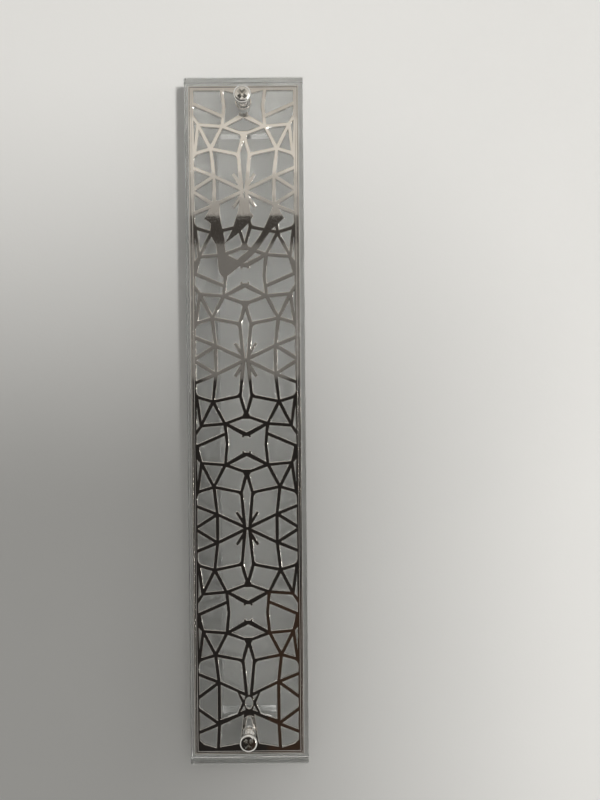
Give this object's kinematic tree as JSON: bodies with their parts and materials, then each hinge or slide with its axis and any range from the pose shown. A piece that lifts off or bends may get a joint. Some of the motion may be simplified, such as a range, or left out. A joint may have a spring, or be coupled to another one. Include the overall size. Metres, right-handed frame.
{
  "type": "mezuzah case",
  "caption": "Clear block case for a small parchment scroll, with a pierced mirror-finish metal front plate and two mounting screws.",
  "frame": {"origin": "middle of the back face, which rests on the table or against the doorpost", "axes": "+X across the case to its right as seen from the front, +Y towards its top end, +Z out of its front"},
  "size_m": [0.0318, 0.184, 0.027],
  "materials": {
    "clear_acrylic": "clear cast acrylic with polished faces",
    "polished_steel": "mirror-polished stainless sheet",
    "chromed_screw": "bright plated steel"
  },
  "bodies": {
    "case": {"acrylic_body": "clear_acrylic", "lattice_plate": "polished_steel"},
    "top_screw": {"top_screw": "chromed_screw"},
    "bottom_screw": {"bottom_screw": "chromed_screw"}
  },
  "joints": [
    {"name": "top_screw_travel", "type": "slide", "parent": "case", "child": "top_screw", "axis": [0, 0, 1], "range_m": [-0.0105, 0.01]},
    {"name": "bottom_screw_travel", "type": "slide", "parent": "case", "child": "bottom_screw", "axis": [0, 0, 1], "range_m": [-0.0105, 0.01]}
  ]
}
